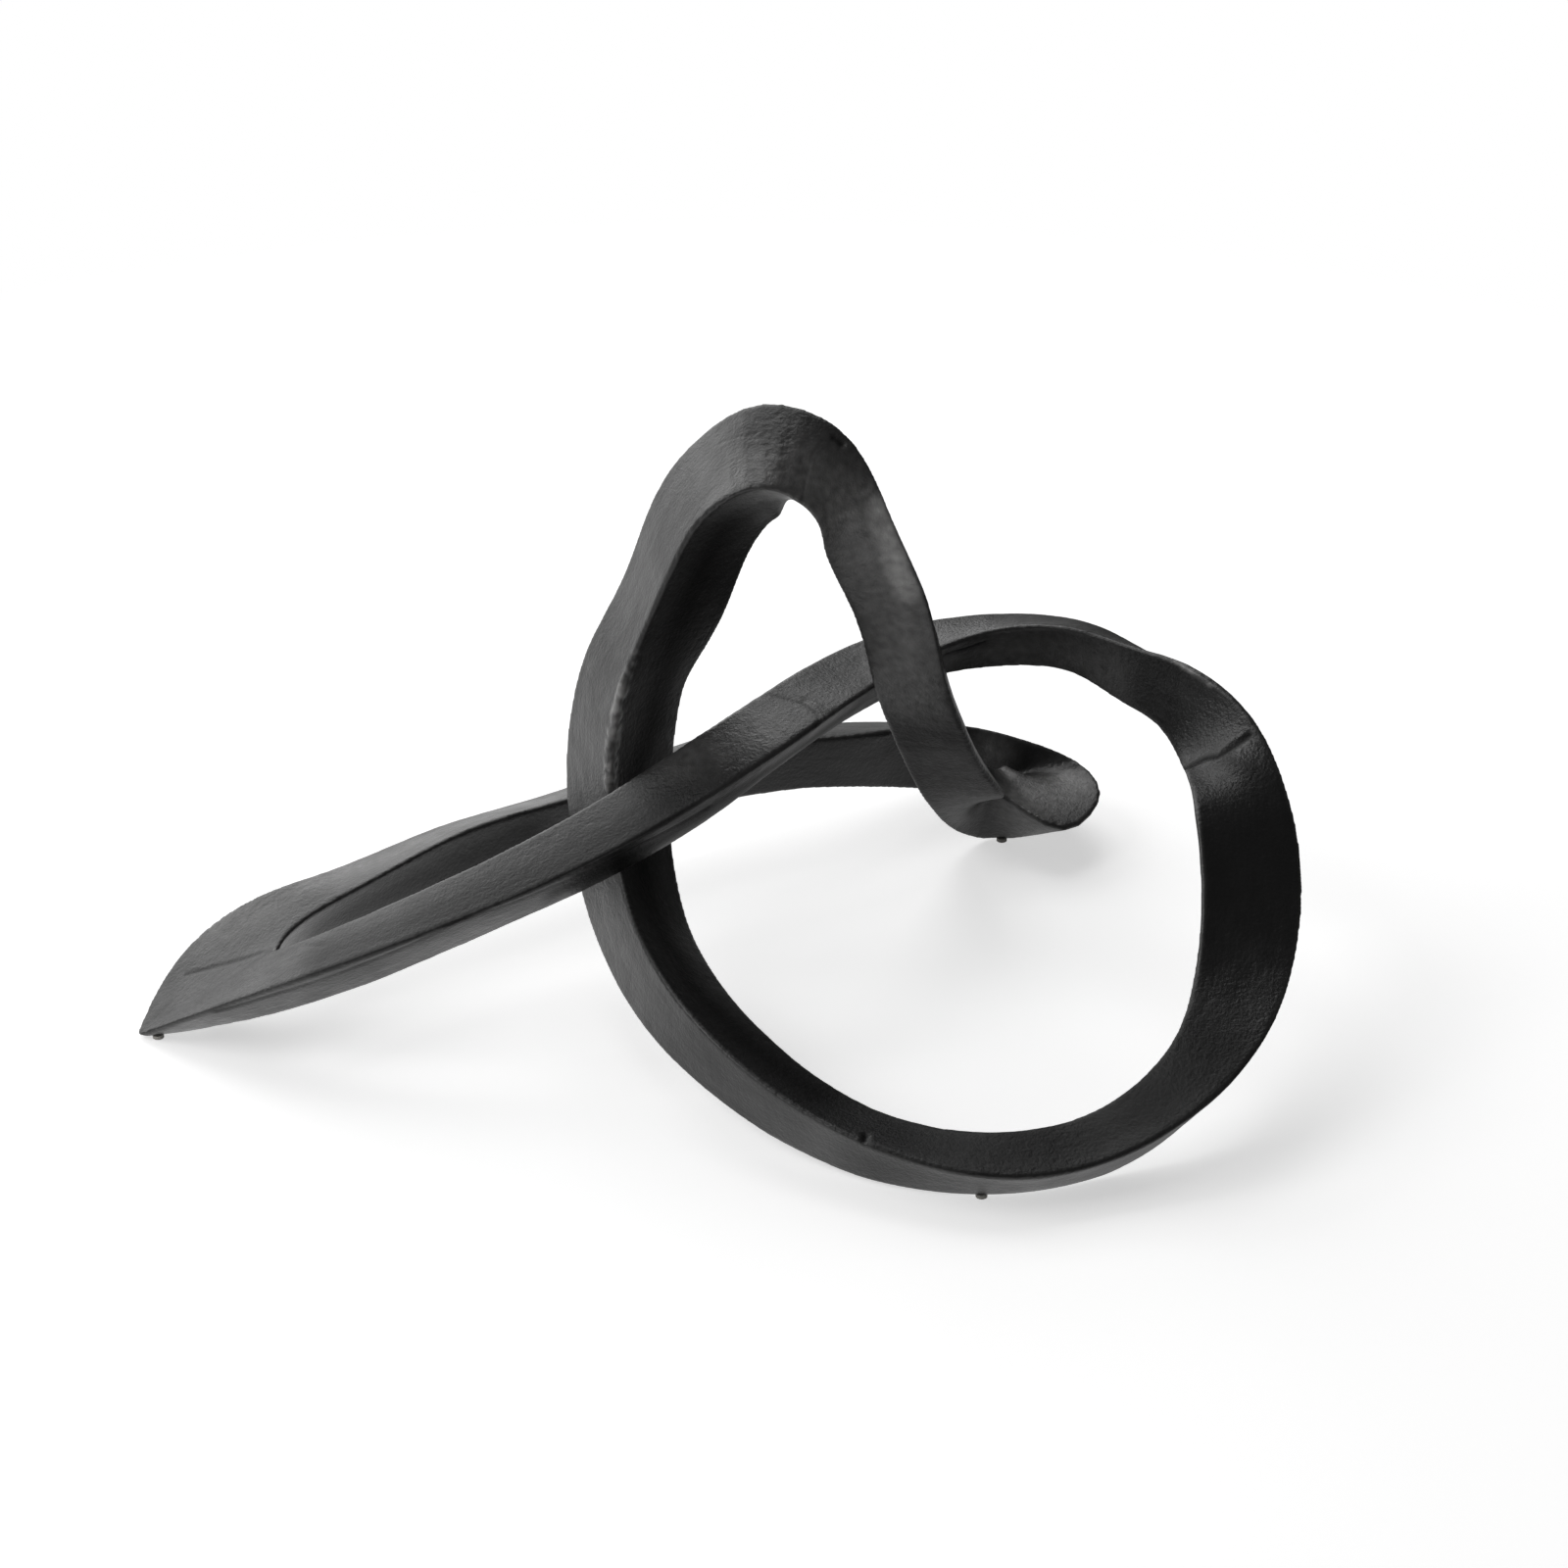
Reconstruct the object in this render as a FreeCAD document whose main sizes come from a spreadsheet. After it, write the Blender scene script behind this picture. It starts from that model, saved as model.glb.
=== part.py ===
"""Black metal knot sculpture: one twisting three-sided bar, cast in seven lengths.

The bar runs from a folded tip on the left, along the front, round a large ring,
up over an arch, down to a tight curl at the back, and home to the tip along the
floor side. The lengths meet at welded joints, each with a steel dowel inside,
and three felt pads lie under the places where the knot touches the shelf.

Millimetres, +Z up, origin on the shelf under the middle of the knot,
+X to the right and +Y away from someone who stands in front of it.
"""
import FreeCAD, Part
import math
import os
from FreeCAD import Placement, Rotation, Vector

document = FreeCAD.newDocument("knot_sculpture")

# Driving dimensions. The three overall sizes scale the run of the bar, and the
# rest are sizes of the bar itself and of what is fitted to it.
SIZES = [
    ("overall_width", 300.0, "tip of the fold to the outside of the ring"),
    ("overall_depth", 219.0, "front of the ring to the back of the curl"),
    ("overall_height", 163.0, "shelf to the top of the arch"),
    ("bar_side", 22.0, "usual width of one face of the bar"),
    ("edge_radius", 0.8, "rounding of the bar's three edges"),
    ("cut_spacing", 3.2, "distance from one cut through the bar to the next"),
    ("weld_half_width", 1.6, "half the width of a weld, along the bar"),
    ("weld_depth", 1.5, "depth of the groove that a weld fills"),
    ("dowel_diameter", 5.0, "steel dowel in each joint"),
    ("dowel_length", 18.0, "steel dowel in each joint"),
    ("dowel_chamfer", 0.6, "chamfer on both ends of a dowel"),
    ("dowel_clearance", 0.1, "play round a dowel, on the radius"),
    ("dowel_end_gap", 0.5, "play past each end of a dowel"),
    ("pad_diameter", 3.0, "felt pad"),
    ("pad_thickness", 1.0, "felt pad"),
]
sheet = document.addObject("Spreadsheet::Sheet", "sizes")
for row, (alias, value, note) in enumerate(SIZES, start=1):
    sheet.set("A%d" % row, alias)
    sheet.set("B%d" % row, "%g" % value)
    sheet.set("C%d" % row, note)
    sheet.setAlias("B%d" % row, alias)
document.recompute()


def size(alias):
    """A driving dimension as the sheet holds it."""
    return float(sheet.get(alias))


WIDTH, DEPTH, HEIGHT = size("overall_width"), size("overall_depth"), size("overall_height")
BAR_SIDE, EDGE_RADIUS = size("bar_side"), size("edge_radius")

# The bar's three faces are the crown, the inner and the back face. Its edges are
# the ridge (back to crown), the lip (crown to inner) and the keel (inner to back).
# Each station below is a square cut through the bar: its middle as shares of the
# overall width, depth and height, its side as a share of bar_side, and the way
# its crown face looks, as a compass angle from +X and an angle above level.
ROUND_STATION_SHARES = {
    # front arm, from the tip up to the right
    "arm_low": (-0.320, -0.173, 0.180, 0.75, -165, 64),
    "arm_rise": (-0.200, -0.165, 0.278, 0.79, -148, 65),
    "arm_crossing": (-0.095, -0.128, 0.355, 0.87, -136, 69),
    "arm_middle": (-0.003, -0.055, 0.416, 0.92, -124, 73),
    "arm_back": (0.083, 0.051, 0.461, 0.86, -85, 80),
    "under_fall": (0.145, 0.151, 0.465, 0.79, -100, 82),
    # ring, clockwise as seen from the front
    "ring_top_left": (0.204, 0.197, 0.481, 0.68, -159, 84),
    "ring_top": (0.258, 0.210, 0.491, 0.66, 119, 78),
    "ring_top_right": (0.331, 0.183, 0.499, 0.68, 51, 69),
    "ring_bend": (0.376, 0.141, 0.484, 0.76, 45, 57),
    "ring_neck": (0.415, 0.087, 0.478, 0.86, 35, 44),
    "shoulder": (0.454, 0.014, 0.425, 1.05, 12, 14),
    "ring_right_high": (0.453, -0.078, 0.360, 1.23, 29, -35),
    "ring_right": (0.455, -0.168, 0.275, 1.23, 28, -37),
    "ring_right_low": (0.448, -0.260, 0.199, 1.06, 4, -34),
    "ring_corner": (0.421, -0.347, 0.148, 0.89, -20, -34),
    "ring_low_right": (0.341, -0.418, 0.067, 0.75, -56, -38),
    "ring_low": (0.228, -0.458, 0.058, 0.73, -94, -37),
    "ring_low_left": (0.155, -0.432, 0.062, 0.75, -114, -24),
    "ring_left_low": (0.065, -0.356, 0.088, 0.85, -130, -14),
    "ring_left": (-0.012, -0.242, 0.136, 0.99, -147, -3),
    # left strand, behind the front arm and up to the arch
    "strand_low": (-0.064, -0.082, 0.189, 1.10, -159, 11),
    "strand_crossing": (-0.082, 0.014, 0.280, 1.22, -154, 10),
    "strand_middle": (-0.077, 0.051, 0.468, 1.28, -158, 14),
    "strand_notch": (-0.068, 0.053, 0.533, 1.24, -160, 15),
    "strand_high": (-0.041, 0.059, 0.643, 1.27, -166, 20),
    "arch_left": (-0.011, 0.055, 0.786, 1.29, -164, 22),
    "arch_turn": (0.018, 0.046, 0.869, 1.29, -160, 40),
    "arch_top": (0.056, 0.037, 0.911, 1.30, -105, 67),
    "arch_right": (0.088, 0.037, 0.900, 1.09, -60, 38),
    # falling arm, in front of the ring and down to the back
    "fall_high": (0.127, 0.041, 0.817, 0.90, -86, -12),
    "fall_middle": (0.162, 0.051, 0.678, 0.96, -107, -12),
    "fall_crossing": (0.182, 0.068, 0.538, 0.99, -114, -21),
    "fall_low": (0.196, 0.105, 0.433, 0.99, -107, -33),
    "fall_back": (0.215, 0.168, 0.306, 0.98, -99, -38),
    "fall_foot": (0.233, 0.238, 0.191, 0.95, -82, -42),
    # back arm, from the curl home to the tip
    "back_start": (0.237, 0.447, 0.094, 0.93, 90, 55),
    "back_right": (0.123, 0.370, 0.157, 0.89, 87, 71),
    "back_middle": (0.001, 0.297, 0.182, 0.88, 106, 73),
    "back_crossing": (-0.122, 0.187, 0.176, 0.85, 118, 66),
    "back_left": (-0.225, 0.100, 0.177, 0.82, 130, 66),
    "back_low": (-0.319, 0.009, 0.158, 0.78, 146, 77),
    "back_end": (-0.358, -0.032, 0.155, 0.77, 180, 88),
}

# At the fold and in the curl the bar turns about its own inner edge, so the cuts
# there are given by the places of ridge, lip and keel, as shares of the same three.
FOLDED_STATION_SHARES = {
    "tip": ((-0.375, -0.119, 0.160), (-0.504, -0.132, 0.001), (-0.448, -0.124, 0.010)),
    "curl_in": ((0.282, 0.289, 0.108), (0.273, 0.333, 0.002), (0.268, 0.381, 0.108)),
    "curl_front": ((0.328, 0.262, 0.080), (0.305, 0.324, 0.018), (0.273, 0.388, 0.107)),
    "curl_side": ((0.358, 0.308, 0.080), (0.325, 0.343, 0.018), (0.276, 0.393, 0.104)),
    "curl_end": ((0.366, 0.338, 0.089), (0.335, 0.370, 0.021), (0.276, 0.397, 0.092)),
    "curl_back": ((0.352, 0.395, 0.104), (0.328, 0.420, 0.024), (0.275, 0.402, 0.068)),
    "curl_out": ((0.300, 0.417, 0.135), (0.295, 0.475, 0.049), (0.272, 0.406, 0.046)),
    "back_tip": ((-0.372, -0.105, 0.164), (-0.466, -0.030, 0.086), (-0.425, -0.082, 0.018)),
}

# The seven castings, each from one joint to the next.
CASTINGS = {
    "front_arm": ["tip", "arm_low", "arm_rise", "arm_crossing", "arm_middle", "arm_back"],
    "ring_top": ["arm_back", "under_fall", "ring_top_left", "ring_top", "ring_top_right",
                 "ring_bend", "ring_neck", "shoulder"],
    "ring_right": ["shoulder", "ring_right_high", "ring_right", "ring_right_low",
                   "ring_corner", "ring_low_right", "ring_low", "ring_low_left"],
    "ring_left": ["ring_low_left", "ring_left_low", "ring_left", "strand_low",
                  "strand_crossing", "strand_middle"],
    "arch": ["strand_middle", "strand_notch", "strand_high", "arch_left", "arch_turn",
             "arch_top", "arch_right"],
    "falling_arm": ["arch_right", "fall_high", "fall_middle", "fall_crossing", "fall_low",
                    "fall_back", "fall_foot"],
    "back_arm": ["fall_foot", "curl_in", "curl_front", "curl_side", "curl_end", "curl_back",
                 "curl_out", "back_start", "back_right", "back_middle", "back_crossing",
                 "back_left", "back_low", "back_end", "back_tip", "tip"],
}


def place(shares):
    """A point of the knot from its shares of width, depth and height."""
    return Vector(shares[0] * WIDTH, shares[1] * DEPTH, shares[2] * HEIGHT)


def middle(points):
    """Mean of a few points."""
    total = Vector()
    for point in points:
        total = total + point
    return total * (1 / len(points))


def unit(vector):
    """The same direction, one long."""
    return Vector(vector).normalize()


route = [name for names in CASTINGS.values() for name in names[:-1]] + ["tip"]
middles = [
    place(ROUND_STATION_SHARES[name]) if name in ROUND_STATION_SHARES
    else middle([place(shares) for shares in FOLDED_STATION_SHARES[name]])
    for name in route
]


def corners_at(index):
    """Ridge, lip and keel of the station at this place on the route."""
    name = route[index]
    if name in FOLDED_STATION_SHARES:
        return [place(shares) for shares in FOLDED_STATION_SHARES[name]]
    side_share, azimuth, elevation = ROUND_STATION_SHARES[name][3:]
    before, here, after = middles[index - 1], middles[index], middles[index + 1]
    step_in, step_out = here - before, after - here
    along = unit(step_in * (1 / step_in.Length) ** 2 + step_out * (1 / step_out.Length) ** 2)
    level = math.cos(math.radians(elevation))
    look = Vector(level * math.cos(math.radians(azimuth)),
                  level * math.sin(math.radians(azimuth)), math.sin(math.radians(elevation)))
    crown = unit(look - along * look.dot(along))
    reach = side_share * BAR_SIDE / math.sqrt(3)
    return [here + Rotation(along, turn).multVec(crown) * reach for turn in (-60, 60, 180)]


def rail(points, distances):
    """A smooth curve through the points, one for each edge of the bar."""
    curve = Part.BSplineCurve()
    curve.interpolate(Points=points, Parameters=distances)
    return curve


distances = [0.0]
for start, end in zip(middles, middles[1:]):
    distances.append(distances[-1] + (end - start).Length)
corners = [corners_at(index) for index in range(len(route))]
RAILS = [rail([trio[edge] for trio in corners], distances) for edge in range(3)]
print("length of the bar %.0f mm, %d stations" % (distances[-1], len(route)))


def section_corners(distance):
    """Ridge, lip and keel at a distance along the bar from the tip."""
    return [curve.value(distance) for curve in RAILS]


def triangle_wire(points, radius, inset=0.0):
    """Rounded triangle that just reaches the points, or the same drawn in all round."""
    opposite = [(points[1] - points[2]).Length, (points[2] - points[0]).Length,
                (points[0] - points[1]).Length]
    girth = sum(opposite)
    heart = (points[0] * opposite[0] + points[1] * opposite[1] + points[2] * opposite[2])
    heart = heart * (1 / girth)
    normal = (points[1] - points[0]).cross(points[2] - points[0])
    inner_radius = normal.Length / girth
    shrink = 1 - inset / inner_radius
    points = [heart + (point - heart) * shrink for point in points]
    radius = radius * shrink
    normal.normalize()
    centres = [point - unit(point - heart) * radius for point in points]
    edges = []
    for here in range(3):
        after, before = (here + 1) % 3, (here + 2) % 3
        out_after = unit((centres[after] - centres[here]).cross(normal)) * radius
        out_before = unit((centres[here] - centres[before]).cross(normal)) * radius
        edges.append(Part.Arc(centres[here] + out_before, points[here],
                              centres[here] + out_after).toShape())
        edges.append(Part.LineSegment(centres[here] + out_after,
                                      centres[after] + out_after).toShape())
    return Part.Wire(edges)


def band(cuts, insets=None):
    """Solid through square cuts of the bar at these distances."""
    insets = insets or [0.0] * len(cuts)
    wires = [triangle_wire(section_corners(cut), EDGE_RADIUS, inset)
             for cut, inset in zip(cuts, insets)]
    return Part.makeLoft(wires, True, True)


def feature(label, shape):
    """A document object that holds a shape worked out above."""
    made = document.addObject("Part::Feature", label)
    made.Shape = shape
    made.Placement = Placement()
    return made


def cut_away(label, base, tools):
    """The base less each tool in turn, the last cut under the given label."""
    for number, tool in enumerate(tools, start=1):
        name = label if number == len(tools) else "%s_cut_%d" % (label, number)
        cut = document.addObject("Part::Cut", name)
        cut.Base, cut.Tool = base, tool
        base = cut
    return base


WELD_HALF, WELD_DEPTH = size("weld_half_width"), size("weld_depth")
FELT = size("pad_thickness")
at = dict(zip(route[:-1], distances))
END = distances[-1]


def joint_cylinder(label, distance, radius, length):
    """Cylinder along the bar, half of it on each side of a joint."""
    here = middle(section_corners(distance))
    along = unit(middle(section_corners(distance + WELD_HALF))
                 - middle(section_corners(distance - WELD_HALF)))
    made = document.addObject("Part::Cylinder", label)
    made.setExpression("Radius", radius)
    made.setExpression("Height", length)
    document.recompute()
    made.Placement = Placement(here - along * (made.Height.Value / 2),
                               Rotation(Vector(0, 0, 1), along))
    return made


shelf_trim = document.addObject("Part::Box", "shelf_trim")
shelf_trim.setExpression("Length", "2 * sizes.overall_width")
shelf_trim.setExpression("Width", "2 * sizes.overall_depth")
shelf_trim.setExpression("Height", "sizes.overall_height")
shelf_trim.Placement = Placement(Vector(-WIDTH, -DEPTH, FELT - HEIGHT), Rotation())

# Joints between castings. The fold at the tip is only welded: it is too thin there
# for a dowel.
joints = [names[0] for names in CASTINGS.values()][1:]
dowels, dowel_holes, welds = {}, {}, {}
for joint in joints:
    bare = joint_cylinder(joint + "_dowel_bar", at[joint], "sizes.dowel_diameter / 2",
                          "sizes.dowel_length")
    dowel = document.addObject("Part::Chamfer", "dowel_" + joint)
    dowel.Base = bare
    chamfer = size("dowel_chamfer")
    rims = [number for number, edge in enumerate(bare.Shape.Edges, start=1) if edge.Closed]
    dowel.Edges = [(number, chamfer, chamfer) for number in rims]
    dowels[joint] = dowel
    dowel_holes[joint] = joint_cylinder(
        joint + "_dowel_hole", at[joint], "sizes.dowel_diameter / 2 + sizes.dowel_clearance",
        "sizes.dowel_length + 2 * sizes.dowel_end_gap")

for joint in joints + ["tip"]:
    if joint == "tip":
        before, here, after = END - WELD_HALF, 0.0, WELD_HALF
    else:
        here = at[joint]
        before, after = here - WELD_HALF, here + WELD_HALF
    full = feature("weld_%s_slice" % joint, band([before, here, after]))
    root_before = feature("weld_%s_root_in" % joint,
                          band([before, here], [0.0, WELD_DEPTH]))
    root_after = feature("weld_%s_root_out" % joint,
                         band([here, after], [WELD_DEPTH, 0.0]))
    welds[joint] = cut_away("weld_" + joint, full, [root_before, root_after, shelf_trim])

castings = {}
for label, names in CASTINGS.items():
    start = at[names[0]]
    end = END if names[-1] == "tip" else at[names[-1]]
    low, high = start + WELD_HALF, end - WELD_HALF
    steps = math.ceil((high - low) / size("cut_spacing"))
    cuts = [low + (high - low) * step / steps for step in range(steps + 1)]
    insets = [WELD_DEPTH] + [0.0] * len(cuts) + [WELD_DEPTH]
    cast = feature(label + "_cast", band([start] + cuts + [end], insets))
    tools = [dowel_holes[name] for name in (names[0], names[-1]) if name in dowel_holes]
    castings[label] = cut_away(label, cast, tools + [shelf_trim])
document.recompute()

# Felt pads, each under the edges of the bar that come lowest at its station. The one at
# the tip lies a third of the way from the lip to the keel.
RIDGE, LIP, KEEL = range(3)
PAD_PLACES = {"pad_left": ("tip", [LIP, LIP, KEEL]), "pad_front": ("ring_low", [RIDGE]),
              "pad_back": ("curl_in", [LIP])}
pads = {}
for label, (station, edges) in PAD_PLACES.items():
    foot = middle([corners[route.index(station)][edge] for edge in edges])
    pad = document.addObject("Part::Cylinder", label)
    pad.setExpression("Radius", "sizes.pad_diameter / 2")
    pad.setExpression("Height", "sizes.pad_thickness")
    pad.Placement = Placement(Vector(foot.x, foot.y, 0), Rotation())
    pads[label] = pad
document.recompute()

parts = dict(castings)
parts.update({dowel.Name: dowel for dowel in dowels.values()})
parts.update({weld.Name: weld for weld in welds.values()})
parts.update(pads)

for thing in document.Objects:
    if "Invalid" in thing.State or "Error" in thing.State:
        raise RuntimeError("%s failed: %s" % (thing.Name, thing.State))
for name, thing in parts.items():
    thing.Label = name
    if thing.Shape.isNull() or not thing.Shape.isValid():
        raise RuntimeError("%s has no valid shape" % name)

os.makedirs("parts", exist_ok=True)
whole = FreeCAD.BoundBox()
for name, thing in parts.items():
    thing.Shape.exportStep("parts/%s.step" % name)
    whole.add(thing.Shape.BoundBox)
    print("%-24s %d solid %8.1f mm3" % (name, len(thing.Shape.Solids), thing.Shape.Volume))
print("whole %s" % whole)
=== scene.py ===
# %% [markdown]
# # A black metal knot sculpture
# The object is one three-sided bar, bent into a ring, an arch and a folded tip. It is cast in
# lengths that are pinned, welded together and ground flush, then lacquered black. The solids
# are already right in size and place, so this script gives them their skin: a denser mesh
# with the unevenness of sand casting, the marks of the welder's grinder, and the satin finish.

import math

import bpy
import numpy as np
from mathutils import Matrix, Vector, noise
from mathutils.bvhtree import BVHTree


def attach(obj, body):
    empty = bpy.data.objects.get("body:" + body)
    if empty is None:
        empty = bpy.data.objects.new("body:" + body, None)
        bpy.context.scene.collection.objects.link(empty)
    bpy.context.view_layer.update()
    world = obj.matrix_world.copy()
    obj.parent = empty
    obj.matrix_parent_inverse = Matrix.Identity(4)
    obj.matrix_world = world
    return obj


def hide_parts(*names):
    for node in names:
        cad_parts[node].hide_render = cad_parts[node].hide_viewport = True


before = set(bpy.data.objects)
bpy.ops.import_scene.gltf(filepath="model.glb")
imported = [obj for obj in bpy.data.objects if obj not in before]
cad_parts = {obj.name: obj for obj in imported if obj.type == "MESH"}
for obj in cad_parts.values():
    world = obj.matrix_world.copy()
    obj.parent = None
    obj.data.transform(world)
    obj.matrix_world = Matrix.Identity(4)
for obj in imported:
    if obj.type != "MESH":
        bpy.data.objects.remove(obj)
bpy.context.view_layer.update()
MM = 0.001
print("nodes", len(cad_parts))

# %% [markdown]
# ## Camera
# The photograph looks down at about 30 degrees with a long lens: near and far parts of the knot
# keep almost the same scale. A short lens close by would give the same size in the picture, but
# would swell the ring in front, so the camera stands a metre away with 88 mm on a 36 mm sensor.

# %% Camera
LOOK_AT = Vector((19.5, -9.0, 65.9)) * MM
CAMERA_DISTANCE = 1.0
CAMERA_ELEVATION = math.radians(30)
LENS_MM = 88.4

camera_data = bpy.data.cameras.new("camera")
camera_data.lens = LENS_MM
camera = bpy.data.objects.new("camera", camera_data)
back = Vector((0, -math.cos(CAMERA_ELEVATION), math.sin(CAMERA_ELEVATION)))
camera.location = LOOK_AT + back * CAMERA_DISTANCE
camera.rotation_euler = (math.pi / 2 - CAMERA_ELEVATION, 0, 0)
bpy.context.scene.collection.objects.link(camera)
bpy.context.scene.camera = camera
bpy.context.scene.view_settings.view_transform = "Standard"
print("camera at", [round(value, 3) for value in camera.location])

# %% [markdown]
# ## Skin
# The real castings are welded and ground until the joints can't be felt. Each could be subdivided
# on its own, but then a gap would open where two of them meet. So all castings and welds are
# copied, merged by distance and joined, and a voxel remesh turns the lot into one even skin. A
# shrinkwrap pulls it back onto the true flat faces, and a little smoothing rounds the corners as
# the grinder does.

# %% Merged copies of the castings and welds
MERGE = 0.001 * MM
CASTINGS = ["front_arm", "ring_top", "ring_right", "ring_left", "arch", "falling_arm", "back_arm"]
WELDS = sorted(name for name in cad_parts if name.startswith("weld_"))


def only(obj):
    """Select this object alone and make it the active one."""
    bpy.ops.object.select_all(action="DESELECT")
    obj.select_set(True)
    bpy.context.view_layer.objects.active = obj


def apply_all(obj):
    """Apply every modifier of the object."""
    only(obj)
    for modifier in list(obj.modifiers):
        bpy.ops.object.modifier_apply(modifier=modifier.name)


def merged_copy(name):
    """A copy of a solid's mesh with its loose triangles merged, linked to the scene."""
    copy = bpy.data.objects.new("copy_" + name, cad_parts[name].data.copy())
    bpy.context.scene.collection.objects.link(copy)
    only(copy)
    bpy.ops.object.mode_set(mode="EDIT")
    bpy.ops.mesh.select_all(action="SELECT")
    bpy.ops.mesh.remove_doubles(threshold=MERGE)
    bpy.ops.object.mode_set(mode="OBJECT")
    return copy


copies = {name: merged_copy(name) for name in CASTINGS + WELDS}
shell_points, shell_faces, face_owner = [], [], []
for name, copy in copies.items():
    first = len(shell_points)
    shell_points += [vertex.co.copy() for vertex in copy.data.vertices]
    for polygon in copy.data.polygons:
        shell_faces.append([first + index for index in polygon.vertices])
        face_owner.append(name)
shell = BVHTree.FromPolygons(shell_points, shell_faces)
print(len(copies), "copies with", len(shell_faces), "faces")

# %% One even skin over all of them
VOXEL = 0.62 * MM
SMOOTH_FACTOR, SMOOTH_ROUNDS = 0.5, 7


def select_copies():
    """Select all the copies, with the arch active."""
    only(copies["arch"])
    for copy in copies.values():
        copy.select_set(True)


select_copies()
bpy.ops.object.duplicate()
bpy.ops.object.join()
skin = bpy.context.view_layer.objects.active
skin.name = "skin"
remesh = skin.modifiers.new("even", "REMESH")
remesh.mode = "VOXEL"
remesh.voxel_size = VOXEL
apply_all(skin)

# %% Pull the skin onto the true faces and round its corners
select_copies()
bpy.ops.object.join()
target = bpy.context.view_layer.objects.active
wrap = skin.modifiers.new("true faces", "SHRINKWRAP")
wrap.target = target
wrap.wrap_method = "NEAREST_SURFACEPOINT"
ground = skin.modifiers.new("ground over", "SMOOTH")
ground.factor = SMOOTH_FACTOR
ground.iterations = SMOOTH_ROUNDS
apply_all(skin)
bpy.data.objects.remove(target)
print("skin", len(skin.data.polygons), "faces")

# %% [markdown]
# ## Relief
# Sand casting leaves the faces a little wavy and pitted. A bump in the material could show that,
# but the outline would stay a ruler's line. So it is real relief here, the points moved along
# their normals with noise of three sizes, and outline and highlights break up as on metal. The
# skin's own curvature is kept as well: where it is sharp, the lacquer will be worn.

# %% Read the skin's points, normals and edges
count = len(skin.data.vertices)
places = np.zeros(count * 3)
skin.data.vertices.foreach_get("co", places)
places = places.reshape(-1, 3)
normals = np.zeros(count * 3)
skin.data.vertices.foreach_get("normal", normals)
normals = normals.reshape(-1, 3)
ends = np.zeros(len(skin.data.edges) * 2, dtype=np.int64)
skin.data.edges.foreach_get("vertices", ends)
ends = ends.reshape(-1, 2)
neighbours = np.bincount(ends.ravel(), minlength=count)
print(count, "points")


def spread(values, rounds):
    """Average a value with that of the neighbouring points, a few rounds."""
    for _ in range(rounds):
        total = np.bincount(ends[:, 0], values[ends[:, 1]], count)
        total += np.bincount(ends[:, 1], values[ends[:, 0]], count)
        values = (values + total / neighbours) / 2
    return values


# %% Find the edges by the skin's curvature
EDGE_FROM, EDGE_RANGE, EDGE_ROUNDS = 0.12, 0.35, 2

step = places[ends[:, 1]] - places[ends[:, 0]]
turn = np.einsum("ij,ij->i", normals[ends[:, 1]] - normals[ends[:, 0]], step)
turn /= np.einsum("ij,ij->i", step, step)
bend = np.bincount(ends[:, 0], turn, count) + np.bincount(ends[:, 1], turn, count)
curvature = spread(bend / neighbours, EDGE_ROUNDS) * MM
edge = np.clip((curvature - EDGE_FROM) / EDGE_RANGE, 0, 1)
print("share of the skin on an edge %.2f" % edge.mean())

# %% Casting relief along the normals
SWELL_SIZE, SWELL_HEIGHT, SWELL_SEED = 17 * MM, 0.16 * MM, 3
DENT_SIZE, DENT_HEIGHT, DENT_SEED = 5.0 * MM, 0.06 * MM, 7
PIT_SIZE, PIT_HEIGHT, PIT_SEED = 1.9 * MM, 0.022 * MM, 11


def noise_at(size, seed):
    """Perlin noise between -1 and 1 at every point of the skin."""
    shift = Vector((seed, seed * 2, seed * 3))
    return np.array([noise.noise(Vector(place) / size + shift) for place in places])


dents, pits = noise_at(DENT_SIZE, DENT_SEED), noise_at(PIT_SIZE, PIT_SEED)
swell = noise_at(SWELL_SIZE, SWELL_SEED)
rise = SWELL_HEIGHT * swell + DENT_HEIGHT * dents + PIT_HEIGHT * pits
print("relief %.2f to %.2f mm" % (rise.min() / MM, rise.max() / MM))

# %% [markdown]
# ## Marks of the welder and the grinder
# The welder leaves a lumpy bead, and the grinder leaves arcs, notches and rough patches. Sculpting
# them by hand can't be repeated, so each mark follows a short line on the metal, written in
# millimetres. A groove sinks along its line, a bead stands up along it in lumps, and a patch is
# rough all over. What a mark does to the colour goes into two point attributes, which the lacquer
# reads: one for wear and painted highlights, one for dark marks and painted shade. Other lines
# paint highlights and shade onto larger places. They are a guess: the photograph is lighter or
# darker there than the lamps below make it. They lie on the metal and stay in every view.

# %% Distance from a line of points
def nearness(points_mm, reach_mm):
    """1 on the line through the points, falling smoothly to 0 at the reach."""
    nearest = np.full(count, np.inf)
    line = np.array(points_mm, float) * MM
    starts, stops = (line[:-1], line[1:]) if len(line) > 1 else (line, line)
    for start, stop in zip(starts, stops):
        run = stop - start
        share = np.clip((places - start) @ run / max(run @ run, 1e-12), 0, 1)
        away = np.linalg.norm(places - start - share[:, None] * run, axis=1)
        nearest = np.minimum(nearest, away)
    close = np.clip(1 - nearest / (reach_mm * MM), 0, 1)
    return close * close * (3 - 2 * close)


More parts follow.
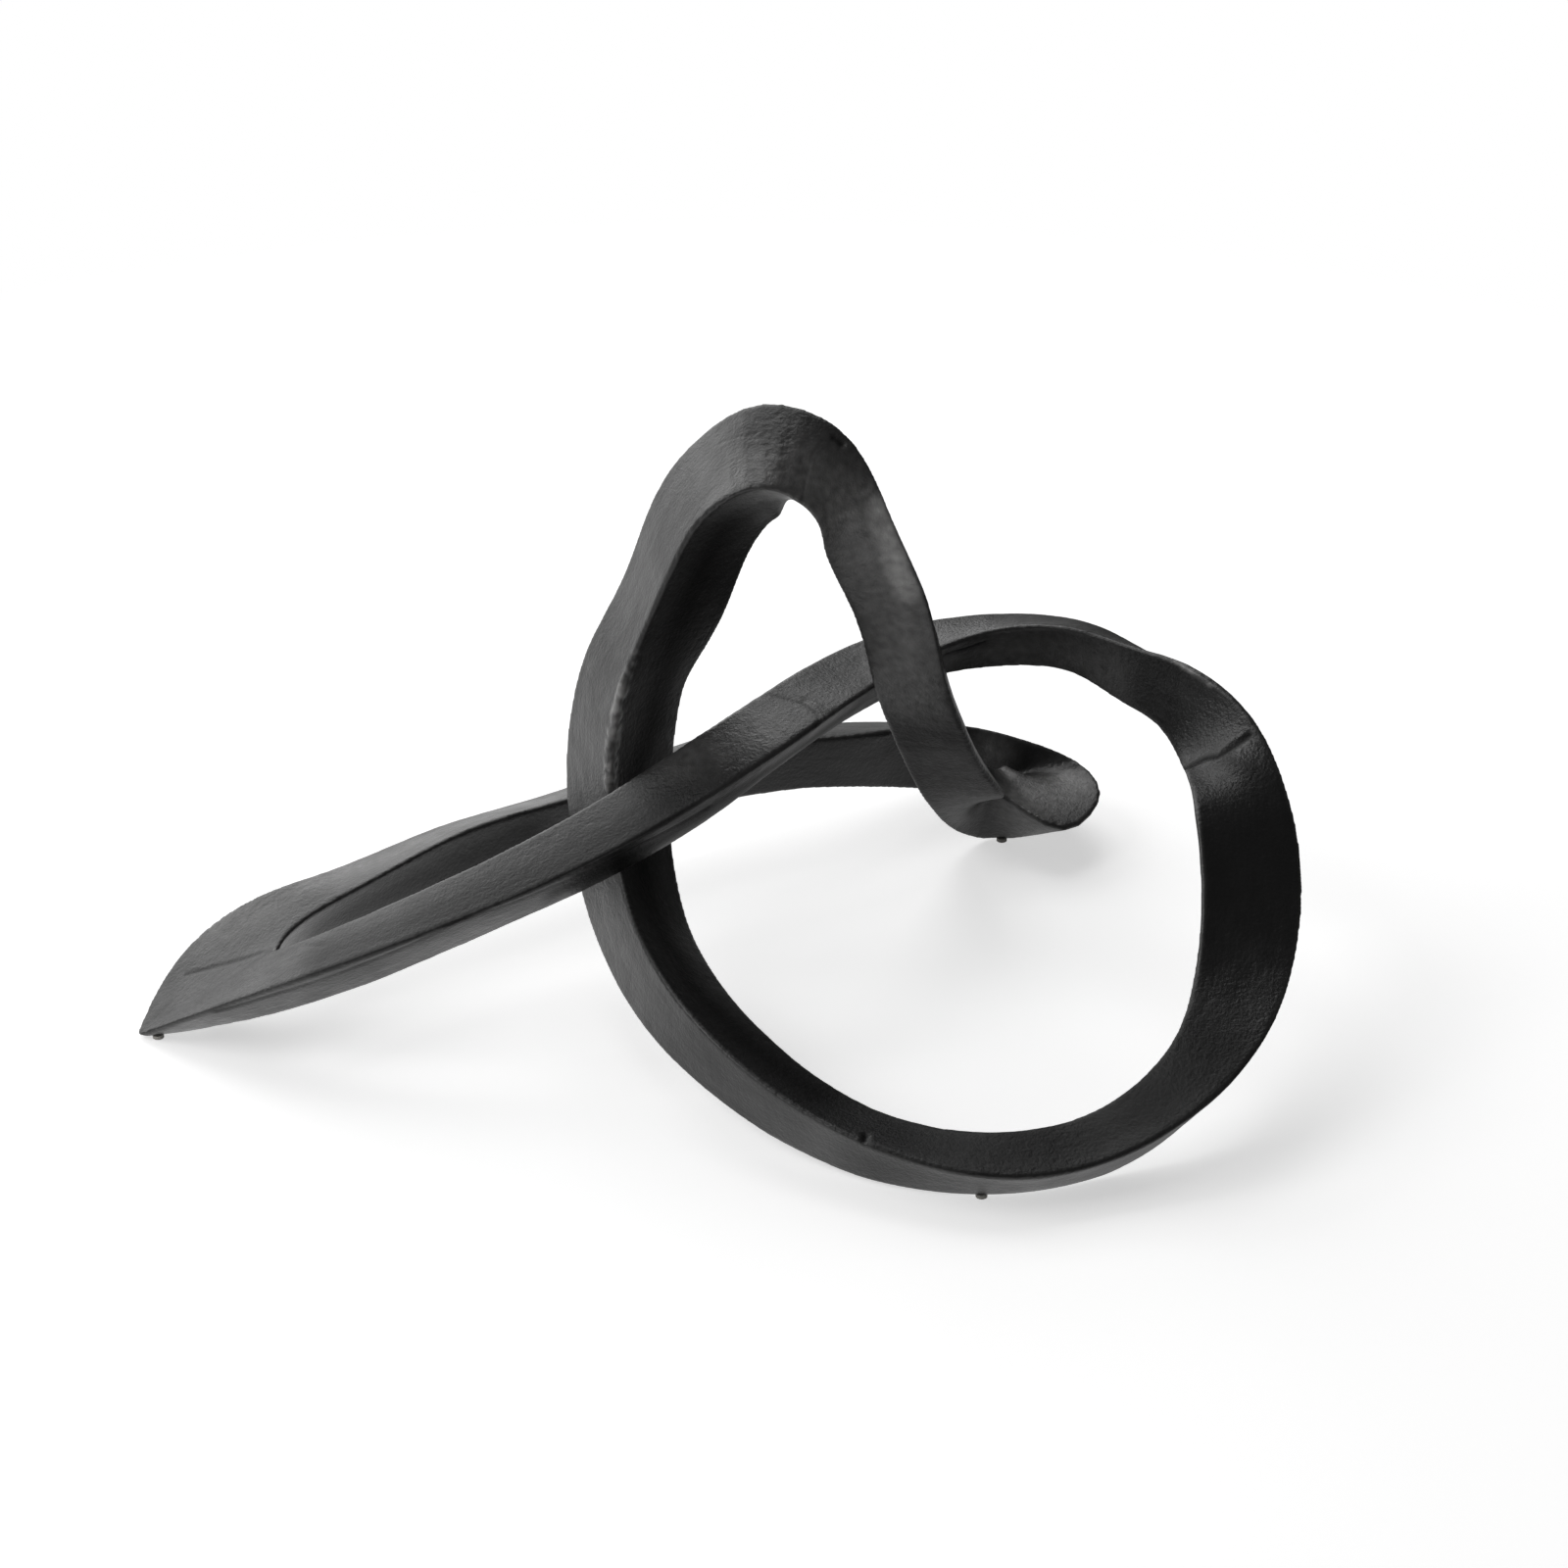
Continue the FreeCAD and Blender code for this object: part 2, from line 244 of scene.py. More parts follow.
# %% Lines of the marks, in mm
STRAND_BEAD = [(-18.7, -2.8, 100.9), (-20.6, -3.2, 94.6), (-22.5, -3.4, 86.1),
               (-24.0, -3.1, 76.9), (-24.6, -4.3, 69.1), (-24.7, -5.1, 62.8)]
ARM_ARC = [(12.0, 12.5, 80.6), (19.5, 9.9, 81.1), (24.6, 7.6, 80.6), (27.9, 4.1, 79.9),
           (28.7, 0.8, 79.4), (26.6, -1.9, 77.7), (23.6, -5.2, 77.2)]
APEX_LINE = [(23.7, -6.3, 145.8), (24.9, -1.7, 149.5), (26.4, 4.2, 153.8), (28.6, 8.2, 155.7),
             (32.3, 8.9, 155.7)]
APEX_NOTCH = [(32.0, 9.4, 155.9), (34.0, 8.6, 154.6)]
APEX_SCRATCHES = [
    [(3.4, 12.6, 153.1), (9.6, 9.7, 156.4), (13.3, 9.6, 157.8)],
    [(12.1, 13.4, 158.7), (16.5, 12.6, 159.6), (19.5, 15.1, 161.2)],
    [(17.0, 8.9, 158.1), (15.8, 2.9, 155.5), (20.7, 0.8, 153.8), (19.5, -6.1, 150.3)],
]
APEX_PATCH = [(12.0, 9.0, 157.5), (19.0, 6.0, 156.5), (20.0, -2.0, 152.5)]
SHOULDER_SEAM = [(124.1, -2.4, 66.8), (129.3, -3.0, 70.1), (132.1, -4.3, 71.4),
                 (136.1, -3.9, 74.1), (140.0, -3.6, 77.2)]
SHOULDER_HIGHLIGHT_LINE = [(122.2, 16.8, 88.1), (127.2, 11.8, 87.0), (131.0, 8.1, 85.6)]
RING_LOOP = [(62.6, 37.2, 79.3), (68.2, 39.4, 79.9), (73.5, 40.1, 81.7)]
TIP_CREASE = [(-99.2, -36.6, 33.7), (-112.5, -25.7, 25.9), (-121.9, -23.1, 21.2),
              (-130.4, -19.7, 16.6), (-138.9, -16.4, 12.0)]
ARM_LOWER_EDGE = [(-128.0, -38.0, 14.5), (-111.0, -42.2, 23.5), (-89.2, -45.2, 33.8),
                  (-63.6, -46.0, 46.6), (-40.5, -40.1, 54.0), (-17.0, -31.0, 61.0),
                  (0.0, -19.0, 65.0)]
LOW_NOTCH = [(39.8, -96.3, 16.5), (39.3, -98.8, 16.7)]

# %% Guessed places of painted highlight and painted shade: a line, its reach in mm, and how much
# Painted highlights, lightening the places that the lamps leave too dark.
PAINTED_HIGHLIGHT_PLACES = [
    ([(33.0, 8.0, 81.0), (46.0, 22.0, 80.0), (60.0, 34.0, 79.0)], 17, 0.10),
    ([(-6.0, -10.0, 73.0), (12.0, -2.0, 79.0)], 15, 0.18),
    ([(22.0, -1.0, 150.0), (26.9, -0.6, 146.3), (34.4, 2.0, 139.6)], 17, 0.42),
    ([(43.5, 3.0, 139.1), (47.3, 2.2, 128.5), (50.6, 3.0, 116.9)], 8, 0.75),
    ([(41.0, 4.0, 143.0), (45.6, 2.0, 128.5), (51.1, 4.5, 104.8), (52.0, 7.0, 92.0)], 6, 0.30),
    ([(22.0, -1.0, 150.0), (26.9, -0.6, 146.3), (34.4, 2.0, 139.6), (39.4, 3.2, 127.9),
      (48.0, 2.0, 105.0), (52.0, 10.0, 80.0)], 22, 0.25),
    ([(63.2, 28.2, 50.5), (74.9, 65.3, 16.6)], 18, 0.08),
    ([(-133.4, -4.2, 19.4), (-118.2, -7.2, 27.4), (-100.9, 3.9, 30.3), (-80.9, 16.4, 32.3),
      (-60.4, 26.6, 35.2), (-45.0, 37.5, 34.4)], 12, 0.16),
    ([(77.6, 42.0, 77.7), (93.2, 38.3, 78.7), (105.9, 30.1, 76.6)], 14, 0.14),
    ([(78.8, 91.6, 19.3), (84.0, 80.7, 17.4)], 10, 0.20),
    ([(88.0, 66.0, 15.0), (98.0, 78.0, 14.0)], 16, 0.34),
]
# Painted shade, darkening the places that the lamps leave too light.
PAINTED_SHADE_PLACES = [
    ([(4.6, 3.5, 133.3), (-4.4, 5.3, 112.8), (-11.1, 7.2, 91.8), (-15.2, 8.2, 73.8),
      (-19.1, 2.9, 62.0), (-17.7, -12.8, 41.4), (-12.2, -29.9, 34.0), (-1.7, -52.0, 28.7),
      (10.8, -66.4, 23.4), (26.8, -80.6, 18.2)], 14, 0.9),
    ([(-98.3, -42.0, 33.8), (-75.3, -43.0, 44.0), (-55.1, -41.5, 52.0), (-40.1, -40.2, 57.4),
      (-25.3, -34.2, 63.9), (-10.5, -26.7, 69.9)], 14, 0.62),
    ([(-102.7, -8.8, 22.3), (-87.9, 1.2, 25.2), (-70.4, 13.5, 26.9), (-49.8, 25.8, 30.4)],
     11, 0.6),
    ([(127.0, -76.0, 24.0), (102.0, -91.5, 11.0), (68.4, -100.3, 9.5), (46.5, -94.6, 10.1)],
     22, 0.75),
    ([(-38.0, -37.0, 50.0), (-25.8, -31.6, 54.7), (2.6, -15.4, 64.5), (24.4, 6.2, 68.7),
      (38.0, 20.0, 69.0)], 9, 0.85),
]
print(len(PAINTED_HIGHLIGHT_PLACES), "rubbed places,", len(PAINTED_SHADE_PLACES), "painted_shade places")

# %% The three kinds of mark
LUMP_FLOOR, LUMP_RISE, LUMP_PITS = 0.45, 0.9, 0.8
CHURN_SIZE, CHURN_PITS, CHURN_SEED = 0.9 * MM, 0.6, 17
# The first array holds wear and painted highlights, the second dark marks and painted shade.
worn, dark = np.zeros(count), np.zeros(count)


def moved(line, right, back, up=0.0):
    """The same line beside itself, in mm."""
    return [(x + right, y + back, z + up) for x, y, z in line]


def groove(line, width_mm, depth_mm, shade=1.0):
    """Sink a line into the metal and darken it."""
    global rise, dark
    close = nearness(line, width_mm)
    rise = rise - close * depth_mm * MM
    dark = np.maximum(dark, close * shade)


def bead(line, width_mm, height_mm, shine=1.0):
    """Raise a lumpy line of weld metal and wear its top bright."""
    global rise, worn
    close = nearness(line, width_mm)
    lumps = LUMP_FLOOR + LUMP_RISE * np.clip(dents + LUMP_PITS * pits, -0.5, 1)
    rise = rise + close * lumps * height_mm * MM
    worn = np.maximum(worn, close * np.clip(lumps, 0, 1) * shine)


def rough_patch(line, width_mm, height_mm, shade=0.6):
    """Churn the metal round a line with fine relief and darken it a little."""
    global rise, dark
    close = nearness(line, width_mm)
    churned = noise_at(CHURN_SIZE, CHURN_SEED) + CHURN_PITS * pits
    rise = rise + close * churned * height_mm * MM
    dark = np.maximum(dark, close * shade)


# %% Carve the left strand and the front arm: line, width, depth or height, shade or shine
bead(moved(STRAND_BEAD, -0.9, -0.4), 2.8, 1.10, 1.0)
groove(moved(STRAND_BEAD, 2.4, -0.6), 1.0, 0.30)
groove(ARM_ARC, 1.2, 0.10, 0.5)
for shift in (1.7, 3.1):
    groove(moved(ARM_ARC[1:], shift, shift / 3), 0.9, 0.10, 0.4)
    bead(moved(ARM_ARC[1:], shift - 0.8, shift / 4), 1.0, 0.12, 0.35)
# This groove is real relief, and its darkening along the front arm's lower edge is painted shade.
groove(ARM_LOWER_EDGE, 2.0, 0.20, 1.0)
groove(TIP_CREASE, 1.2, 0.18, 0.5)
print("relief %.2f to %.2f mm" % (rise.min() / MM, rise.max() / MM))

# %% Paint highlights and shade onto the large places
HIGHLIGHT_PLAIN, HIGHLIGHT_PITTED = 0.9, 0.5

for line, reach_mm, shine in PAINTED_HIGHLIGHT_PLACES:
    painted_highlight = shine * nearness(line, reach_mm) * (HIGHLIGHT_PLAIN + HIGHLIGHT_PITTED * pits)
    worn = np.maximum(worn, painted_highlight)
for line, reach_mm, shade in PAINTED_SHADE_PLACES:
    dark = np.maximum(dark, shade * nearness(line, reach_mm))
print("worn %.3f dark %.3f" % (worn.mean(), dark.mean()))

# %% Carve the top of the arch
groove(APEX_LINE, 1.0, 0.10, 0.30)
bead(moved(APEX_LINE[:4], 1.0, 0.0), 1.2, 0.10, 0.15)
groove(APEX_NOTCH, 1.6, 0.80)
for scratch in APEX_SCRATCHES:
    groove(scratch, 0.8, 0.10, 0.3)
    bead(moved(scratch, 0.6, -0.5), 0.8, 0.12, 0.2)
rough_patch(APEX_PATCH, 9.0, 0.16, 0.35)
print("dark %.3f" % dark.mean())

# %% Carve the shoulder and the ring
groove(SHOULDER_SEAM, 1.5, 0.35, 0.9)
bead(moved(SHOULDER_SEAM[2:], 0.0, -0.8, -2.2), 1.4, 0.20, 0.5)
# This low bead along the shoulder's top edge is lightened as a painted highlight.
bead(SHOULDER_HIGHLIGHT_LINE, 1.0, 0.12, 0.7)
groove(RING_LOOP, 1.0, 0.20)
rough_patch(RING_LOOP, 4.5, 0.10, 0.4)
groove(LOW_NOTCH, 1.5, 0.70)
print("relief %.2f to %.2f mm" % (rise.min() / MM, rise.max() / MM))

# %% [markdown]
# ## Brush streaks
# The lacquer was rubbed along the bar, so its streaks follow every bend. Noise stretched along X
# or Y would cross the bar wherever it turns, and a UV map would show its seams. So seeds stand
# about 22 mm apart on the metal. Each finds the direction of the bar round it and carries noise
# that is stretched that way, and the noises of neighbouring seeds fade into each other.

# %% Which casting or weld each point lies on
names = CASTINGS + WELDS
number_of = {name: number for number, name in enumerate(names)}
face_number = [number_of[name] for name in face_owner]
nearest_owner = np.array([face_number[shell.find_nearest(place)[2]] for place in places])
on_weld = nearest_owner >= len(CASTINGS)
print("share of the skin on a weld %.2f" % on_weld.mean())

# %% Streaks that follow the bar
SEED_STEP, SEED_VIEW, SEED_FADE = 22 * MM, 34 * MM, 12 * MM
SEED_REACH, SEED_SAMPLE = 2.5 * SEED_FADE, 20
STREAK_WIDTH, STREAK_STRETCH = 0.9 * MM, 14.0
NOISE_PLACES = 97, 89, 83  # primes, so that no two seeds read the same part of the noise

seeds = np.unique(np.round(places / SEED_STEP), axis=0, return_index=True)[1]
streak, weight = np.zeros(count), np.full(count, 1e-9)
for seed in seeds:
    if on_weld[seed]:
        continue
    away = np.linalg.norm(places - places[seed], axis=1)
    same = nearest_owner == nearest_owner[seed]
    view = places[same & (away < SEED_VIEW)]
    sample = (view - view.mean(axis=0))[::SEED_SAMPLE]
    along = np.linalg.svd(sample, full_matrices=False)[2][0]
    members = np.flatnonzero((same | on_weld) & (away < SEED_REACH))
    local = places[members] - places[seed]
    local -= np.outer(local @ along, along) * (1 - 1 / STREAK_STRETCH)
    shift = Vector([float(seed % prime) for prime in NOISE_PLACES])
    value = np.array([noise.noise(Vector(place) / STREAK_WIDTH + shift) for place in local])
    fade = np.exp(-(away[members] / SEED_FADE) ** 2)
    streak[members] += fade * value
    weight[members] += fade ** 2
streak /= np.sqrt(weight)
print(len(seeds), "seeds, streaks %.2f to %.2f" % (streak.min(), streak.max()))

# %% Move the skin and keep the colour attributes
FLAT_BELOW = 1.6 * MM  # this close to the shelf a point keeps its height, so nothing dips into it

relief = places + normals * rise[:, None]
relief[:, 2] = np.where(places[:, 2] < FLAT_BELOW, places[:, 2], relief[:, 2])
skin.data.vertices.foreach_set("co", relief.ravel())
skin.data.update()
# Two of these attributes carry painted highlights and painted shade along with wear and dark
# marks.
for name, values in (("worn", worn), ("dark", dark), ("edge", edge), ("streak", streak)):
    layer = skin.data.attributes.new(name, "FLOAT", "POINT")
    layer.data.foreach_set("value", values.astype(np.float32))
    print(name, "%.3f on average" % values.mean())

# %% [markdown]
# ## Pieces
# A seam can hardly be seen on the real knot, but its castings and welds are separate pieces, and
# stay so here to be used one by one. A knife or a boolean would leave slivers, so each face of the
# skin goes to the solid that it lies nearest to, and the skin comes apart into the same castings
# and welds. Each open end is then closed by drawing its rim together into one point inside.

# %% Give each face of the skin to its casting or weld
PART = "part_"

skin.data.materials.clear()
for name in names:
    skin.data.materials.append(bpy.data.materials.new(PART + name))
owners = np.zeros(len(skin.data.polygons), dtype=np.int32)
for polygon in skin.data.polygons:
    owners[polygon.index] = face_number[shell.find_nearest(polygon.center)[2]]
skin.data.polygons.foreach_set("material_index", owners)
print("faces of each:", np.bincount(owners).tolist())

# %% Cut the skin into its pieces
only(skin)
bpy.ops.object.mode_set(mode="EDIT")
bpy.ops.mesh.select_all(action="SELECT")
bpy.ops.mesh.separate(type="MATERIAL")
bpy.ops.object.mode_set(mode="OBJECT")
pieces = {}
for piece in list(bpy.context.selected_objects):
    slot = piece.data.materials[piece.data.polygons[0].material_index]
    name = slot.name[len(PART):]
    piece.name = "skin_" + name
    pieces[name] = piece
print(len(pieces), "pieces")

# %% Close the open ends
for name, piece in pieces.items():
    only(piece)
    bpy.ops.object.mode_set(mode="EDIT")
    bpy.context.tool_settings.mesh_select_mode = (False, True, False)
    bpy.ops.mesh.select_all(action="DESELECT")
    bpy.ops.mesh.select_non_manifold(extend=False, use_wire=False, use_multi_face=False,
                                     use_non_contiguous=False, use_verts=False)
    bpy.ops.mesh.mark_sharp()
    bpy.ops.mesh.extrude_edges_move()
    bpy.ops.mesh.merge(type="COLLAPSE")
    bpy.ops.mesh.select_all(action="SELECT")
    bpy.ops.mesh.normals_make_consistent(inside=False)
    bpy.ops.object.mode_set(mode="OBJECT")
    bpy.ops.object.shade_smooth(keep_sharp_edges=True)
    print(name, len(piece.data.polygons))

# %% [markdown]
# ## Finish
# The metal is cast aluminium under a thin black lacquer. The lacquer is dark and satin: a face
# that mirrors something dark stays black, and one that mirrors a bright wall turns grey. It
# carries the grain of the sand, small uneven bumps and fine brush streaks, is worn thin on the
# edges and weld beads, and is darker in the grooves. Painted highlights lighten some larger places
# and painted shade darkens others. All materials here are made of nodes, so one helper adds a node
# with its settings and links.

# %% Colour helper and node helper
def linear(hex_code):
    """An sRGB hex colour as the four linear numbers that a shader reads."""
    values = [int(hex_code[start:start + 2], 16) / 255 for start in (1, 3, 5)]
    return [v / 12.92 if v <= 0.04045 else ((v + 0.055) / 1.055) ** 2.4 for v in values] + [1]


def add_node(tree, kind, settings=None, inputs=None):
    """Add a node, set its properties, and set or link its inputs."""
    made = tree.nodes.new(kind)
    for key, value in (settings or {}).items():
        setattr(made, key, value)
    for key, value in (inputs or {}).items():
        if isinstance(value, bpy.types.NodeSocket):
            tree.links.new(value, made.inputs[key])
        else:
            made.inputs[key].default_value = value
    return made


def new_material(name):
    """An empty node material with its output node."""
    material = bpy.data.materials.new(name)
    material.use_nodes = True
    material.node_tree.nodes.clear()
    output = material.node_tree.nodes.new("ShaderNodeOutputMaterial")
    return material, material.node_tree, output


# %% [markdown]
# ### Black satin lacquer
# The lacquer was brushed along the bar and rubbed down, so it is satin and streaky, not glossy
# like a sprayed one. A picture of such a finish could be wrapped round the bar, but it would hold
# the light of its own photograph. Noise at real sizes looks right under any light. The streaks
# come in as the attribute made above. Wear only lightens a little: the metal doesn't show bare
# anywhere. The larger lighter places are painted highlights, and the darker ones painted shade.

# %% What the lacquer reads: noise at real sizes, and the skin's attributes
GRAIN_MM = 0.8  # moulding sand is finer, about 0.3 mm, and is drawn coarser so that it shows
BUMP_MM = 1.7  # small uneven bumps that casting and filing leave
CLOUD_MM = 11.0  # where the rubbing cloth pressed more or less

lacquer, tree, output = new_material("black_satin_lacquer")
where = add_node(tree, "ShaderNodeTexCoord").outputs["Object"]
grain = add_node(tree, "ShaderNodeTexNoise", inputs={
    "Vector": where, "Scale": 1 / (GRAIN_MM * MM), "Detail": 2.0, "Roughness": 0.6})
bumps = add_node(tree, "ShaderNodeTexNoise", inputs={
    "Vector": where, "Scale": 1 / (BUMP_MM * MM), "Detail": 1.0, "Roughness": 0.5})
cloud = add_node(tree, "ShaderNodeTexNoise", inputs={
    "Vector": where, "Scale": 1 / (CLOUD_MM * MM), "Detail": 3.0, "Roughness": 0.6})
streak_here = add_node(tree, "ShaderNodeAttribute", {"attribute_name": "streak"}).outputs["Fac"]
# These two attributes carry painted light: wear with painted highlights, dark marks with painted
# shade.
worn_and_highlight_here = add_node(tree, "ShaderNodeAttribute", {"attribute_name": "worn"}).outputs["Fac"]
dark_marks_and_shade_here = add_node(tree, "ShaderNodeAttribute", {"attribute_name": "dark"}).outputs["Fac"]
edge_here = add_node(tree, "ShaderNodeAttribute", {"attribute_name": "edge"}).outputs["Fac"]
print("lacquer reads", [node.attribute_name for node in tree.nodes
                        if node.type == "ATTRIBUTE"])

# %% Its colour: lighter on worn edges, weld beads and painted highlights, darker on dark marks and painted shade
BLACK, WORN_AND_HIGHLIGHT_COLOUR, DARK_MARK_AND_SHADE_COLOUR = linear("#161616"), linear("#b4b3b2"), linear("#0a0a0a")
EDGE_WEAR = 0.06

edge_wear = add_node(tree, "ShaderNodeMath", {"operation": "MULTIPLY"}, {
    0: edge_here, 1: EDGE_WEAR})
wear_and_highlight = add_node(tree, "ShaderNodeMath", {"operation": "MAXIMUM"}, {
    0: edge_wear.outputs[0], 1: worn_and_highlight_here})
lighter = add_node(tree, "ShaderNodeMix", {"data_type": "RGBA"}, {
    "Factor": wear_and_highlight.outputs[0], 6: BLACK, 7: WORN_AND_HIGHLIGHT_COLOUR})
shade = add_node(tree, "ShaderNodeMix", {"data_type": "RGBA"}, {
    "Factor": dark_marks_and_shade_here, 6: lighter.outputs[2], 7: DARK_MARK_AND_SHADE_COLOUR})

# %% Its roughness: satin, polished on the wear and painted highlights, dull on dark marks and painted shade, and uneven in between
SATIN, POLISHED, DULL = 0.36, 0.27, 0.50
CLOUD_LOW, CLOUD_HIGH = 0.3, 0.7
SMOOTHER, ROUGHER, STREAKIER = 0.05, 0.07, 0.07

uneven = add_node(tree, "ShaderNodeMapRange", inputs={
    "Value": cloud.outputs["Fac"], "From Min": CLOUD_LOW, "From Max": CLOUD_HIGH,
    "To Min": SATIN - SMOOTHER, "To Max": SATIN + ROUGHER})
brushed = add_node(tree, "ShaderNodeMath", {"operation": "MULTIPLY_ADD"}, {
    0: streak_here, 1: STREAKIER, 2: uneven.outputs["Result"]})
polish = add_node(tree, "ShaderNodeMix", {}, {
    "Factor": wear_and_highlight.outputs[0], 2: brushed.outputs[0], 3: POLISHED})
roughness = add_node(tree, "ShaderNodeMix", {}, {
    "Factor": dark_marks_and_shade_here, 2: polish.outputs[0], 3: DULL})

# %% Its relief and its shine, which dark marks and painted shade take away
GRAIN_DEPTH, BUMP_DEPTH, STREAK_DEPTH = 0.18 * MM, 0.16 * MM, 0.05 * MM
GRAIN_PART, BUMP_PART, STREAK_PART = 0.9, 0.6, 0.5
SHINE, DARK_MARK_AND_SHADE_SHINE = 0.5, 0.1  # differs over the surface, so it is linked; the export drops that
LACQUER_IOR = 1.6

shine = add_node(tree, "ShaderNodeMapRange", inputs={
    "Value": dark_marks_and_shade_here, "To Min": SHINE, "To Max": DARK_MARK_AND_SHADE_SHINE})
grain_bump = add_node(tree, "ShaderNodeBump", inputs={
    "Strength": GRAIN_PART, "Distance": GRAIN_DEPTH, "Height": grain.outputs["Fac"]})
uneven_bump = add_node(tree, "ShaderNodeBump", inputs={
    "Strength": BUMP_PART, "Distance": BUMP_DEPTH, "Height": bumps.outputs["Fac"],
    "Normal": grain_bump.outputs["Normal"]})
streak_bump = add_node(tree, "ShaderNodeBump", inputs={
    "Strength": STREAK_PART, "Distance": STREAK_DEPTH, "Height": streak_here,
    "Normal": uneven_bump.outputs["Normal"]})
shader = add_node(tree, "ShaderNodeBsdfPrincipled", inputs={
    "Base Color": shade.outputs[2], "Roughness": roughness.outputs[0], "IOR": LACQUER_IOR,
    "Specular IOR Level": shine.outputs["Result"],
    "Normal": streak_bump.outputs["Normal"]})
tree.links.new(shader.outputs["BSDF"], output.inputs["Surface"])
print(lacquer.name, len(tree.nodes), "nodes")

# %% [markdown]
# ### Turned steel and pressed felt
# The dowels are turned from steel rod: bare metal that mirrors softly, with fine tool marks. The
# pads are stamped from pressed wool felt, pale, matt and a little woolly. Tool marks could be
# rings round each dowel's axis and felt could be made of hairs, but the dowels are hidden in the
# joints and the pads are 3 mm wide, so fine noise does for both. Their solids are right as they
# are and only take a finish.

# %% Turned steel
TOOL_MARK_MM, TOOL_MARK_DEPTH = 0.3, 0.02 * MM
STEEL, STEEL_ROUGHNESS = linear("#b9b9bb"), 0.35

steel, tree, output = new_material("turned_steel")
where = add_node(tree, "ShaderNodeTexCoord").outputs["Object"]
tool_marks = add_node(tree, "ShaderNodeTexNoise", inputs={
    "Vector": where, "Scale": 1 / (TOOL_MARK_MM * MM), "Detail": 1.0})
bump = add_node(tree, "ShaderNodeBump", inputs={
    "Strength": 0.2, "Distance": TOOL_MARK_DEPTH, "Height": tool_marks.outputs["Fac"]})
shader = add_node(tree, "ShaderNodeBsdfPrincipled", inputs={
    "Base Color": STEEL, "Metallic": 1.0, "Roughness": STEEL_ROUGHNESS,
    "Normal": bump.outputs["Normal"]})
tree.links.new(shader.outputs["BSDF"], output.inputs["Surface"])
print(steel.name, len(tree.nodes), "nodes")

# %% Pressed felt
FIBRE_MM, FIBRE_DEPTH = 0.25, 0.1 * MM
WOOL, WOOL_ROUGHNESS, WOOL_SHEEN = linear("#dcd9d2"), 0.95, 0.3

felt, tree, output = new_material("pressed_felt")
where = add_node(tree, "ShaderNodeTexCoord").outputs["Object"]
fibres = add_node(tree, "ShaderNodeTexNoise", inputs={
    "Vector": where, "Scale": 1 / (FIBRE_MM * MM), "Detail": 3.0})
bump = add_node(tree, "ShaderNodeBump", inputs={
    "Strength": 0.6, "Distance": FIBRE_DEPTH, "Height": fibres.outputs["Fac"]})
shader = add_node(tree, "ShaderNodeBsdfPrincipled", inputs={
    "Base Color": WOOL, "Roughness": WOOL_ROUGHNESS, "Sheen Weight": WOOL_SHEEN,
    "Normal": bump.outputs["Normal"]})
tree.links.new(shader.outputs["BSDF"], output.inputs["Surface"])
print(felt.name, len(tree.nodes), "nodes")


# %% Put the finishes on
def dress(piece, material):
    """Give the piece this one material."""
    piece.data.materials.clear()
    piece.data.materials.append(material)


for name, piece in pieces.items():
    dress(piece, lacquer)
    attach(piece, "root")
    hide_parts(name)
for name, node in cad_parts.items():
    if name.startswith("dowel_"):
        dress(node, steel)
    elif name.startswith("pad_"):
        dress(node, felt)
print(len(pieces), "lacquered pieces")

# %% [markdown]
# ## Paper and cards
# The knot stands on white paper. A dark mirror shows what stands round it, and in the photograph
# some faces mirror white and others mirror something dark that the picture doesn't show. A dark
# card laid on the paper would do it, but would be in the picture. So the paper's own material
# holds the card: a dark grey shape in the middle, on the right and in front, that only
# reflections see. This belongs to the lighting and not to the knot. The camera sees white paper
# with the knot's shadow on it, fading to pure white far out.

# %% A sheet of white paper
SHEET_SIDE, SHEET_DROP = 6.0, 0.1 * MM
PAPER, WHITE = linear("#f4f4f4"), linear("#ffffff")

bpy.ops.object.select_all(action="DESELECT")
bpy.ops.mesh.primitive_plane_add(size=SHEET_SIDE, location=(0, 0, -SHEET_DROP))
floor = bpy.context.view_layer.objects.active
floor.name = "floor"
paper, tree, output = new_material("white_paper")
where = add_node(tree, "ShaderNodeTexCoord").outputs["Object"]
path = add_node(tree, "ShaderNodeLightPath")
paper_face = add_node(tree, "ShaderNodeBsdfDiffuse", inputs={"Color": PAPER})
glow = add_node(tree, "ShaderNodeEmission", inputs={"Color": WHITE, "Strength": 1.0})
print("sheet", SHEET_SIDE, "m")

# %% What the camera sees of it: a lifted shadow near the knot, white far out
PAPER_LIFT, FADE_FROM, FADE_TO = 0.55, 0.28, 0.55

lift = add_node(tree, "ShaderNodeEmission", inputs={"Color": WHITE, "Strength": PAPER_LIFT})
lifted = add_node(tree, "ShaderNodeAddShader", inputs={
    0: paper_face.outputs["BSDF"], 1: lift.outputs["Emission"]})
reach = add_node(tree, "ShaderNodeVectorMath", {"operation": "LENGTH"}, {0: where})
far = add_node(tree, "ShaderNodeMapRange", inputs={
    "Value": reach.outputs["Value"], "From Min": FADE_FROM, "From Max": FADE_TO})
seen = add_node(tree, "ShaderNodeMixShader", inputs={
    0: far.outputs["Result"], 1: lifted.outputs["Shader"], 2: glow.outputs["Emission"]})
print("shadow kept within", FADE_FROM, "m")

